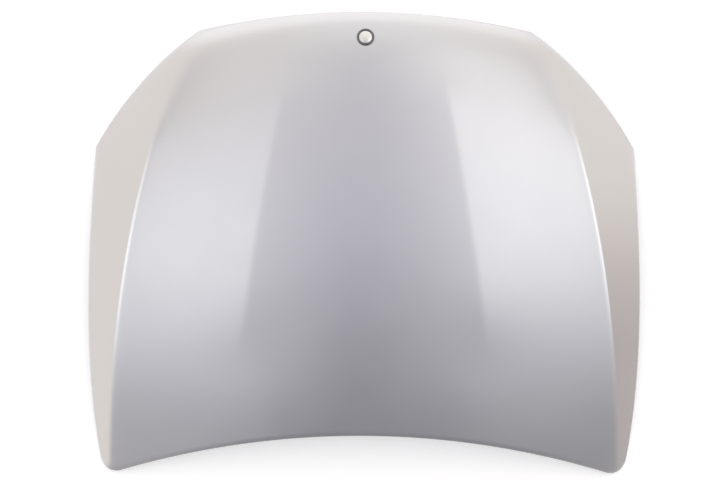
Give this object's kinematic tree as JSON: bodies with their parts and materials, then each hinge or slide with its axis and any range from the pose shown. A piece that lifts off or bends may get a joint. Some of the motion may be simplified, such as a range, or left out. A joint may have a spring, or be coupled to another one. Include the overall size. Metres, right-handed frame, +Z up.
{
  "type": "car bonnet",
  "caption": "Painted car bonnet with creased outer skin, folded hem, pressed inner frame with lightening openings, strikers, hinge pads, rubber stops and a plain round badge.",
  "frame": {"origin": "centre of the bounding box, at the height of the lowest corners that it lies on", "axes": "+X to the right of the car, +Y forwards to the nose edge, +Z up out of the painted face"},
  "size_m": [1.453, 1.2022, 0.1695],
  "materials": {
    "body_paint": "silver metallic with clear coat",
    "inner_paint": "satin silver without clear coat",
    "zinc": "zinc plated",
    "rubber": "matt black",
    "mastic": "matt dark grey",
    "badge_bright": "bright plated",
    "badge_dark": "glossy dark",
    "clip_plastic": "moulded"
  },
  "bodies": {
    "root": {"badge_ring": "badge_dark", "badge_disc": "badge_bright", "badge_clip": "clip_plastic", "hinge_plate_left": "zinc", "hinge_nut_left_front": "zinc", "hinge_bolt_left_front": "zinc", "hinge_nut_left_rear": "zinc", "hinge_bolt_left_rear": "zinc", "hinge_plate_right": "zinc", "hinge_nut_right_front": "zinc", "hinge_bolt_right_front": "zinc", "hinge_nut_right_rear": "zinc", "hinge_bolt_right_rear": "zinc", "striker_backing_left": "zinc", "striker_base_left": "zinc", "striker_bolt_left_front": "zinc", "striker_bolt_left_rear": "zinc", "striker_loop_left": "zinc", "striker_backing_right": "zinc", "striker_base_right": "zinc", "striker_bolt_right_front": "zinc", "striker_bolt_right_rear": "zinc", "striker_loop_right": "zinc", "stop_buffer_front_right": "rubber", "stop_buffer_front_left": "rubber", "stop_buffer_side_right": "rubber", "stop_buffer_side_left": "rubber", "mastic_bead_1": "mastic", "mastic_bead_2": "mastic", "mastic_bead_3": "mastic", "mastic_bead_4": "mastic", "mastic_bead_5": "mastic", "mastic_bead_6": "mastic", "mastic_bead_7": "mastic", "mastic_bead_8": "mastic", "mastic_bead_9": "mastic", "mastic_bead_10": "mastic", "mastic_bead_11": "mastic", "mastic_bead_12": "mastic", "mastic_bead_13": "mastic", "mastic_bead_14": "mastic", "mastic_bead_15": "mastic", "mastic_bead_16": "mastic", "mastic_bead_17": "mastic", "mastic_bead_18": "mastic", "outer_skin": "body_paint", "inner_frame": "inner_paint"}
  },
  "joints": []
}
